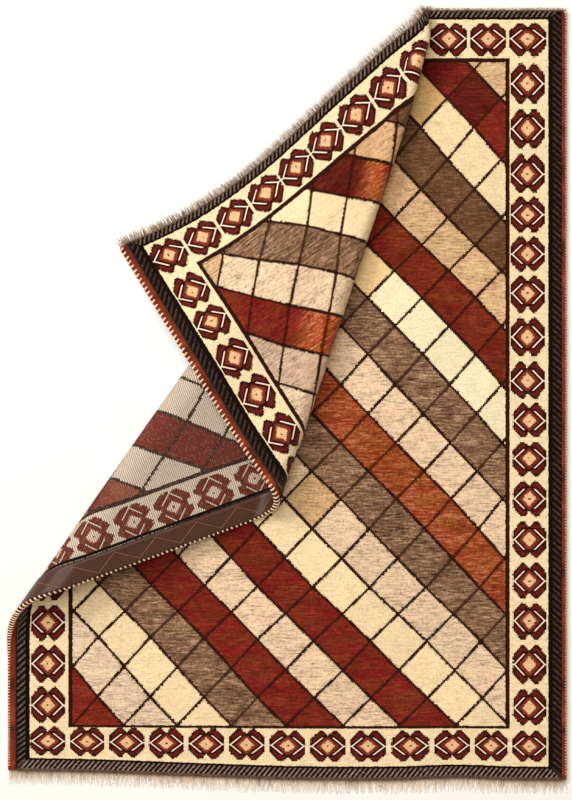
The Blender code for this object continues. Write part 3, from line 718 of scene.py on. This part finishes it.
def pileMaterial():
    # the drawing, heathered by streaks along the rows: a light one mixes in pale fibre and a dark one
    # brown, by the yarn's own share, and the hue drifts a little with it
    surface, tree, shader = newMaterial("woolPile", pile["roughness"])
    shader.inputs["Sheen Weight"].default_value = pile["sheen"]
    shader.inputs["Sheen Roughness"].default_value = pile["sheenRough"]
    shader.inputs["Sheen Tint"].default_value = pile["sheenTint"]
    drawn, (u, v), knot, heather = patternColour(tree, knots["high"])
    stray = knot["stray"] - 0.5
    streak = grained(u, v, pile["streakWaves"], 3.0, 0.6)
    broad = grained(u, v, pile["broadWaves"])
    mottle = (streak - 0.5) * pile["streak"] + (broad - 0.5) * pile["broad"] + stray * pile["knotted"]
    amount = mottle * heather
    mixed = step(brightness(drawn), *pile["mixedFrom"])
    light = blend(mixed * pile["lightMix"], shaded(pile["lighter"], drawn), wool("lightFibre"))
    drawn = blend(most(amount * pile["lighten"], 0.0), drawn, light)
    dark = blend(mixed, shaded(pile["darker"], drawn), wool("darkFibre"))
    drawn = blend(most(amount * pile["darken"], 0.0), drawn, dark)
    shade = stray * pile["grain"] + 1.0 + (streak - 0.5) * pile["streakShade"]
    dye = grained(u, v, pile["dyeWaves"], layer=3.0)
    hue = (dye - 0.5) * least(heather * pile["dyeReach"], 1.0) * pile["dyeTurn"] + 0.5
    plug(shader, "Base Color", shaded(shade, drawn, hue))

    # Relief: each knot is a small tuft, the product of two sines, with finer fibre over it.
    tuft = calc("SINE", knot["u"] * math.pi) * calc("SINE", knot["v"] * math.pi)
    fibre = grained(u, v, pile["fibreWaves"], 3.0, 0.7)
    height = abs(tuft) * pile["tuftHigh"] + fibre * pile["fibreHigh"] + streak * pile["streakHigh"]
    addBump(shader, height, pile["bump"], pile["bumpDeep"])
    return surface


# Woven back: shares of the pale weft in dark and pale wool, the ivory band's red tint, the black edge and
# its pale dashes in mm from the guard, and the painted shade in the gaps between the rows.
woven = dict(roughness=0.9, paleFrom=(0.05, 0.5), weft=0.04, weftPale=0.80, ring=(0.83, 0.82), ringTint=0.65,
             fleckFrom=(0.55, 1.0), fleck=0.10, fleckPale=0.30, blackFrom=(-9.0, -8.0), blackTo=(9.6, 8.6),
             dashFrom=(0.6, 1.1), dashTo=(2.9, 2.4), dashWaves=160.0, dashBroken=(0.44, 0.5), dashFaint=0.1,
             dashLow=(0.86, 0.94), dashMore=0.6, gapFrom=(0.24, 0.48), gap=0.52, gapStray=0.42, barHigh=0.4,
             bump=0.5, bumpDeep=0.0012)


def backMaterial():
    # the woven back: knot rows as ribs with painted shade in the gaps between, flecked with the ivory weft
    surface, tree, shader = newMaterial("wovenBack", woven["roughness"])
    drawn, (u, v), knot, _ = patternColour(tree, knots["backRow"])
    pale = step(brightness(drawn), *woven["paleFrom"])
    drawn = blend(woven["weft"] + pale * woven["weftPale"], drawn, wool("weft"))
    sides, ends = uvMap(tree, "border")
    tint = step(least(sides, ends), *woven["ring"]) * (woven["ringTint"] - pale * woven["ringTint"])
    drawn = blend(tint, drawn, wool("backRed"))
    flecks = step(knot["stray"], *woven["fleckFrom"]) * (woven["fleck"] + pale * woven["fleckPale"])
    drawn = blend(flecks, drawn, wool("weft"))
    inset = u * 1000.0 - border["guardLeft"]
    black = step(inset, *woven["blackFrom"]) * step(inset, *woven["blackTo"])
    drawn = blend(black, drawn, wool("guard"))
    dashes = step(inset, *woven["dashFrom"]) * step(inset, *woven["dashTo"])
    dashes = dashes * step(noise(join(0.0, v * woven["dashWaves"]), 1.0), *woven["dashBroken"])
    dashes = dashes * (woven["dashFaint"] + step(v, *woven["dashLow"]) * woven["dashMore"])
    drawn = blend(dashes, drawn, wool("weft"))
    # painted shade darkens the gaps between the knot rows, which the relief also sinks
    gap = step(abs(calc("FRACT", knot["v"]) - 0.5), *woven["gapFrom"])
    drawn = blend(gap * (woven["gap"] + knot["strayToo"] * woven["gapStray"]), drawn, wool("backGapShade"))
    plug(shader, "Base Color", drawn)
    bar = abs(calc("SINE", knot["u"] * math.pi))
    addBump(shader, bar * woven["barHigh"] - gap, woven["bump"], woven["bumpDeep"])
    return surface


# The sheet's grid: stations over the main part, in each bend, in the layer between and over the flap, then
# rows. Its pile is uneven by lumps of two sizes, each a height, a length and a seed.
sheet = dict(main=92, bend=32, layer=8, flap=46, rows=176, clear=0.0006, sunk=0.0002,
             coarse=(0.0004, 0.045, 5), fine=(0.0003, 0.014, 6))


def makeRug():
    # the whole sheet: pile face and woven back as two grids, joined by a rim all round
    left = rug["selvedgeLeft"] + sheet["clear"]
    right = rug["width"] - rug["selvedgeRight"] - sheet["clear"]
    flat = rugGrid(left, right, sheet["main"], sheet["bend"], sheet["layer"], sheet["flap"], sheet["rows"])
    u, v = flat[..., 0], flat[..., 1]
    uneven = sum(high * lumps(u, v, seed, size) for high, size, seed in (sheet["coarse"], sheet["fine"]))
    upper, _ = inCloth(u, v, rug["thick"] / 2 - sheet["sunk"] + uneven)
    under, _ = inCloth(u, v, -rug["thick"] / 2)
    stations, rows = u.shape
    count = stations * rows
    faces = gridFaces(stations, rows)
    rim = np.concatenate((np.arange(stations) * rows, (stations - 1) * rows + np.arange(1, rows),
                          (np.arange(stations - 2, -1, -1)) * rows + rows - 1, np.arange(rows - 2, 0, -1)))
    after = np.roll(rim, -1)
    walls = np.stack((rim, after, after + count, rim + count), -1)
    allFaces = np.concatenate((faces, faces[:, ::-1] + count, walls[:, ::-1]))
    maps = {name: np.concatenate((values.reshape(-1, 2),) * 2) for name, values in patternMaps(u, v).items()}
    points = np.concatenate((upper.reshape(-1, 3), under.reshape(-1, 3)))
    which = np.repeat((0, 1, 0), (len(faces), len(faces), len(walls)))
    piece = addPiece("rug_sheet", points, allFaces, maps, (pileMaterial(), backMaterial()), which)
    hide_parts("rug")
    print("rug sheet:", len(points), "points")


makeRug()


# Yarn and thread: the fine streaks' waves a metre, where each colour comes in, and the dark part.
yarn = dict(fineWaves=(160.0, 420.0), second=(0.35, 0.5), third=(0.52, 0.68), streakFrom=(0.35, 0.75),
            streak=colour(36, 14, 8), nowhere=9.0, darkStray=0.003, darkSoft=0.002, darkShare=0.8,
            dark=colour(78, 56, 46))


def trimMaterial(name, look, darkFrom=yarn["nowhere"]):
    # yarn or thread: colours drift along the edge, with fine streaks across it, and grey-brown past darkFrom
    surface, tree, shader = newMaterial(name, look["roughness"])
    u, v = uvMap(tree, "cloth")
    slow = noise(join(0.0, v * look["stretch"]), 1.0, 3.0, 0.6)
    fine = grained(u, v, yarn["fineWaves"])
    base = blend(step(slow, *yarn["second"]), look["colours"][0], look["colours"][1])
    base = blend(step(slow, *yarn["third"]), base, look["colours"][2])
    base = blend(step(fine, *yarn["streakFrom"]) * look["streaks"], base, yarn["streak"])
    dark = step(u + fine * yarn["darkStray"], darkFrom, darkFrom + yarn["darkSoft"])
    plug(shader, "Base Color", blend(dark * yarn["darkShare"], base, yarn["dark"]))
    return surface


# Overcast cords of the sides, in metres: the wound yarn, and where the left one turns dark.
selvedge = dict(thick=0.0076, inset=0.0002, pitch=0.0032, depth=0.07, step=0.0008, sides=12, darkFrom=0.0155,
                roughness=0.85, stretch=16.0, streaks=0.45,
                colours=(colour(94, 34, 22), colour(132, 52, 33), colour(164, 72, 42)))


def makeSelvedge(name, node, fromU, toU, darkFrom=yarn["nowhere"]):
    # oval cord along one side, its wound yarn as rings of small waves
    stops = np.arange(rug["sideInset"], rug["length"] - rug["sideInset"], selvedge["step"])
    sides = selvedge["sides"]
    angle = np.arange(sides) / sides * 2 * np.pi
    wave = 0.5 + 0.5 * np.cos(2 * np.pi * stops / selvedge["pitch"])
    wrap = 1.0 - selvedge["depth"] * wave[:, None]
    across = (fromU + toU) / 2 + (toU - fromU) / 2 * np.cos(angle) * wrap
    lift = selvedge["thick"] / 2 * np.sin(angle) * wrap
    v = np.broadcast_to(stops[:, None], across.shape)
    points, _ = inCloth(across, v, lift)
    faces = closeTubes(gridFaces(len(stops), sides, closeColumns=True), 1, len(stops), sides)
    surface = trimMaterial(name + "_wool", selvedge, darkFrom)
    piece = addPiece(name, points, faces, clothMap(across, v), [surface])
    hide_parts(node)


# Leather strips: mesh sizes, and the colours and relief of slow waves and fine grain.
leather = dict(step=0.003, columns=8, roughness=0.40, shine=0.33, slowScale=18.0, grainScale=700.0,
               grain=0.25, grainHigh=0.15, slowHigh=1.5, bump=0.35, bumpDeep=0.002, deep=colour(64, 33, 20),
               worn=colour(86, 49, 35), pores=colour(46, 24, 16))


def leatherMaterial():
    # smooth satin leather with faint grain and slow waves
    surface, tree, shader = newMaterial("brownLeather", leather["roughness"], leather["shine"])
    place = join(*uvMap(tree, "cloth"))
    slow = noise(place, leather["slowScale"])
    grain = noise(place, leather["grainScale"], 3.0, 0.6)
    base = blend(slow, leather["deep"], leather["worn"])
    plug(shader, "Base Color", blend(grain * leather["grain"], base, leather["pores"]))
    height = grain * leather["grainHigh"] + slow * leather["slowHigh"]
    addBump(shader, height, leather["bump"], leather["bumpDeep"])
    return surface


def makeLeather(name, node, fromU, surface):
    # thin closed sheet under one side, following the folds a little below the cloth
    count = round(rug["length"] / leather["step"])
    stops = np.linspace(rug["sideInset"], rug["length"] - rug["sideInset"], count)
    columns = fromU + np.linspace(0, rug["leatherWidth"], leather["columns"])
    u, v = np.meshgrid(np.concatenate((columns, columns[::-1])), stops)
    points, _ = inCloth(u, v, np.repeat((leatherTop, leatherUnder), len(columns)))
    count = 2 * len(columns)
    k = np.arange(len(columns) - 1)
    cap = np.stack((k, k + 1, count - 2 - k, count - 1 - k), -1)
    faces = np.concatenate((gridFaces(len(stops), count, closeColumns=True),
                            cap, cap[:, ::-1] + (len(stops) - 1) * count))
    piece = addPiece(name, points, faces, clothMap(u, v), [surface])
    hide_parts(node)


# Whip stitches, in metres: closer, shorter and thinner past closeFrom, which is at once on the right.
stitch = dict(first=0.006, pitch=0.0108, closePitch=0.0064, closeFrom=1.30, wide=0.0024, flat=0.5,
              slant=0.0050, sides=6, closeReach=0.62, rightReach=0.62, width=0.92, closeWidth=0.56,
              rightWidth=0.50, strayAcross=0.0004, strayAlong=0.0006, roughness=0.7, stretch=60.0,
              streaks=0.10, colours=(colour(240, 204, 168), colour(250, 224, 194), colour(230, 178, 146)))


def makeStitches(name, onRight):
    # ivory whip stitches, each a flat thread from the cord's top round the outer edge to the leather's
    # underside; its path is the distance in from the edge and the height above the middle of the cloth
    path = np.array(((0.0080, 0.0034), (0.0058, 0.0043), (0.0030, 0.0040), (0.0004, 0.0024),
                     (-0.0010, -0.0005), (-0.0008, -0.0040), (0.0002, leatherUnder),
                     (0.0020, leatherUnder - 0.0002), (0.0040, leatherUnder)))
    taper = np.array((0.5, 0.9, 1.0, 1.0, 1.0, 1.0, 1.0, 0.9, 0.5))
    closeFrom = stitch["first"] if onRight else stitch["closeFrom"]
    stops = np.concatenate((np.arange(stitch["first"], closeFrom, stitch["pitch"]),
                            np.arange(closeFrom, rug["length"] - stitch["first"], stitch["closePitch"])))
    rng = np.random.default_rng(11)
    count, stations = len(stops), len(path)
    close = (stops > closeFrom)[:, None]
    reach = np.where(close, stitch["closeReach"], 1.0) * (stitch["rightReach"] if onRight else 1.0)
    u = path[:, 0] * reach + rng.uniform(-stitch["strayAcross"], stitch["strayAcross"], (count, 1))
    u = rug["width"] - u if onRight else u
    v = stops[:, None] + np.linspace(-0.5, 0.5, stations) * stitch["slant"]
    v = v + rng.uniform(-stitch["strayAlong"], stitch["strayAlong"], (count, 1))
    points, _ = inCloth(u, v, path[:, 1])
    ahead, _ = inCloth(u, v + 0.0005, path[:, 1])
    outwards = unit(np.cross(np.gradient(points, axis=1), ahead - points))
    closeWidth = stitch["rightWidth"] if onRight else stitch["closeWidth"]
    radii = stitch["wide"] * taper * np.where(close, closeWidth, stitch["width"])
    places, faces = tubes(points, radii, stitch["sides"], outwards, stitch["flat"])
    faces = closeTubes(faces, count, stations, stitch["sides"])
    addPiece(name, places, faces, clothMap(u, v, stitch["sides"]), [trimMaterial(name + "_thread", stitch)])


# The seam that holds the left leather strip, in metres.
zigzag = dict(first=0.01, step=0.0025, pitch=0.095, reach=0.0158, thread=0.0007, below=0.00005, sides=4,
              flat=0.6, roughness=0.6, stretch=30.0, streaks=0.1,
              colours=(colour(138, 98, 74), colour(156, 112, 84), colour(130, 90, 68)))


def makeZigzag():
    # one thin light brown thread back and forth along the left leather strip's face, as a triangle wave
    stops = np.arange(zigzag["first"], rug["length"] - zigzag["first"], zigzag["step"])
    turn = np.abs((stops / zigzag["pitch"] * 2) % 2 - 1) * 2 - 1
    u = rug["leatherInset"] + rug["leatherWidth"] / 2 + zigzag["reach"] * turn
    points, normals = inCloth(u, stops, leatherUnder - zigzag["below"])
    radii = np.full((1, len(stops)), zigzag["thread"])
    places, faces = tubes(points[None], radii, zigzag["sides"], normals[None], zigzag["flat"])
    faces = closeTubes(faces, 1, len(stops), zigzag["sides"])
    surface = trimMaterial("seamThread", zigzag)
    addPiece("zigzag_seam", places, faces, clothMap(u, stops, zigzag["sides"]), [surface])


makeSelvedge("left_selvedge", "selvedge_left", selvedge["inset"], rug["selvedgeLeft"], selvedge["darkFrom"])
makeSelvedge("right_selvedge", "selvedge_right", rug["width"] - rug["selvedgeRight"],
             rug["width"] - selvedge["inset"])
leatherSurface = leatherMaterial()
makeLeather("left_leather", "leather_strip_left", rug["leatherInset"], leatherSurface)
makeLeather("right_leather", "leather_strip_right", rug["width"] - rug["leatherInset"] - rug["leatherWidth"],
            leatherSurface)
makeStitches("left_stitches", False)
makeStitches("right_stitches", True)
makeZigzag()
print("side trims made")


# Fringes: many fine strands past each end, in metres. Each fringe has its length and how pale it is, and
# strands past the upper fold are shorter by foldShort.
fringe = dict(
    pitch=0.0013, inset=0.003, root=0.0010, lift=-0.0026, liftStray=(-0.0014, 0.0022), thick=0.0007,
    thin=0.7, stations=8, sides=4, drop=0.5, lean=0.35, leanSpread=0.55, leanClump=0.12, curl=0.0018,
    curlWaves=(3.0, 7.0), longStray=(0.80, 1.06), longClump=0.03, clump=260.0, clumpSlow=97.0,
    clumpBroad=31.0, bottom=(0.0315, 0.32), top=(0.0095, -0.05), flap=(0.026, -0.25), foldShort=0.5,
    foldOver=0.02, thickStray=(0.7, 1.2), clear=0.0001, clearStray=0.0012, toneStray=0.6, toneClump=0.1,
    toneBase=0.2)


def fringeMaterial():
    # grey-brown at the root, beige to ivory along the strand and near white at its tip
    surface, tree, shader = newMaterial("fringeWool", 0.9)
    tint, along = uvMap(tree, "strand")
    base = blend(step(tint, 0.0, 1.0), colour(134, 106, 86), colour(250, 230, 206))
    base = blend(step(along, 0.4, 1.0), base, colour(255, 252, 246))
    plug(shader, "Base Color", blend(step(along, 0.4, 0.0) * 0.4, base, colour(112, 84, 64)))
    return surface


def endFold(kind):
    # where the folds begin or end along the top end, in metres from the left edge
    bend, share = (0, 0.0) if kind == "lower" else (2, 1.0)
    return foldLine(np.array([bend]), np.array([share]), 0.02, 4)[0, 0, 0]


def makeFringe(name, node, ends, kind, seed, surface):
    # fine strands that leave the cloth square to its end, lean at random, curl a little and sink to the
    # floor: the way out, plus the lean times the 1.6th power of t, plus a sine wave, less a drop that grows
    # with t squared
    rng = np.random.default_rng(seed)
    length, tone = fringe[kind]
    count = round((ends[1] - ends[0]) / fringe["pitch"])
    u = np.linspace(*ends, count) + rng.uniform(-0.5, 0.5, count) * fringe["pitch"]
    way, edge = (1.0, rug["length"]) if kind == "bottom" else (-1.0, 0.0)
    level = fringe["lift"] + rng.uniform(*fringe["liftStray"], count)
    root, _ = inCloth(u, edge - way * fringe["root"], level)
    out = unit(root - inCloth(u, edge - way * 2 * fringe["root"], level)[0])
    side = unit(inCloth(u + 0.0005, edge - way * fringe["root"], level)[0] - root)
    clumps = np.sin(u * fringe["clump"]) + np.sin(u * fringe["clumpSlow"] + 1.0)
    clumps = clumps + 0.6 * np.sin(u * fringe["clumpBroad"])
    long = length * rng.uniform(*fringe["longStray"], count) * (1.0 + fringe["longClump"] * clumps)
    if kind == "flap":
        long = long * (1.0 - fringe["foldShort"] * ease((u - endFold("upper")) / fringe["foldOver"]))
    lean = rng.normal(0.0, fringe["leanSpread"], count) - fringe["leanClump"] * np.cos(u * fringe["clump"])
    lean = fringe["lean"] * lean
    t = np.linspace(0.0, 1.0, fringe["stations"])
    wave = rng.uniform(*fringe["curlWaves"], (count, 1))
    wave = np.sin(t * wave + rng.uniform(0, 6.3, (count, 1)))
    sideways = (lean * long)[:, None] * t ** 1.6 + fringe["curl"] * t * wave
    path = root[:, None] + out[:, None] * (long[:, None] * t)[..., None] + side[:, None] * sideways[..., None]
    path[..., 2] -= fringe["drop"] * long[:, None] * t ** 2
    radii = fringe["thick"] * (1.0 - fringe["thin"] * t ** 2) * rng.uniform(*fringe["thickStray"], (count, 1))
    clear = fringe["clear"] + rng.uniform(0.0, fringe["clearStray"], (count, 1)) * (1 - t)
    path[..., 2] = np.maximum(path[..., 2], radii + clear)
    places, faces = tubes(path, radii, fringe["sides"])
    faces = closeTubes(faces, count, fringe["stations"], fringe["sides"])
    tint = tone + rng.uniform(0, 1, (count, 1)) * fringe["toneStray"]
    tint = tint + fringe["toneBase"] + fringe["toneClump"] * clumps[:, None]
    strand = np.stack(np.broadcast_arrays(tint, t), -1)
    maps = dict(strand=np.repeat(strand.reshape(-1, 2), fringe["sides"], axis=0))
    piece = addPiece(name, places, faces, maps, [surface])
    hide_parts(node)


strandSurface = fringeMaterial()
firstStrand = fringe["inset"]
lastStrand = rug["width"] - fringe["inset"]
foldStrand = endFold("lower")
makeFringe("lower_fringe", "fringe_bottom", (firstStrand, lastStrand), "bottom", 1, strandSurface)
makeFringe("upper_fringe", "fringe_top_main", (foldStrand, lastStrand), "top", 2, strandSurface)
makeFringe("flap_fringe", "fringe_top_flap", (firstStrand, foldStrand), "flap", 3, strandSurface)
print("fringes made")


# The world's strength and tint, the floor's half width, level and tone, and each lamp's place, size and power.
light = dict(world=0.30, tint=(1.0, 0.76, 0.50, 1.0), floorHalf=9.0, floorLevel=-0.0012, floorTone=0.97,
             lamps=dict(above=((-0.9, 0.9, 6.0), 4.0, 210.0), side=((-4.4, 4.4, 6.0), 2.8, 396.0)))


def setStage():
    # white floor, plain world, a broad soft light above and one from the upper left, aimed at the middle
    half, level, tone = light["floorHalf"], light["floorLevel"], light["floorTone"]
    corners = [[-half, -half, level], [half, -half, level], [half, half, level], [-half, half, level]]
    floor = addMesh("floor", corners, [[0, 1, 2, 3]])
    surface, _, shader = newMaterial("paleFloor", 0.9)
    shader.inputs["Base Color"].default_value = (tone, tone, tone, 1.0)
    floor.data.materials.append(surface)
    world = bpy.data.worlds.new("studio")
    bpy.context.scene.world = world
    world.use_nodes = True
    world.node_tree.nodes["Background"].inputs[0].default_value = light["tint"]
    world.node_tree.nodes["Background"].inputs[1].default_value = light["world"]
    for name, (place, size, power) in light["lamps"].items():
        data = bpy.data.lights.new(name, "AREA")
        data.size = size
        data.energy = power
        lamp = bpy.data.objects.new(name, data)
        bpy.context.scene.collection.objects.link(lamp)
        lamp.location = place
        x, y, z = place
        lamp.rotation_euler = (math.acos(z / math.dist(place, (0.0, 0.0, 0.0))), 0.0,
                               math.atan2(-y, -x) - math.pi / 2)


setStage()


# Camera straight above the photograph's middle, far enough to show the sides hardly at all. Places in the
# photograph are in pixels: its middle, its height, and the flat rug's left edge and top end.
view = dict(distance=9.0, middleX=286.0, middleY=400.0, high=800.0, rugLeft=8.0, rugTop=10.5,
            perPixel=0.002186, sensor=24.0)


def placeCamera():
    data = bpy.data.cameras.new("camera")
    camera = bpy.data.objects.new("camera", data)
    bpy.context.scene.collection.objects.link(camera)
    x = (view["middleX"] - view["rugLeft"]) * view["perPixel"] - rug["width"] / 2 + shiftX
    y = rug["length"] / 2 - (view["middleY"] - view["rugTop"]) * view["perPixel"] + shiftY
    camera.location = (x, y, view["distance"])
    data.sensor_fit = "VERTICAL"
    data.sensor_height = view["sensor"]
    data.lens = view["sensor"] * view["distance"] / (view["high"] * view["perPixel"])
    bpy.context.scene.camera = camera
    bpy.context.scene.view_settings.view_transform = "Standard"


placeCamera()
print("camera and light set")
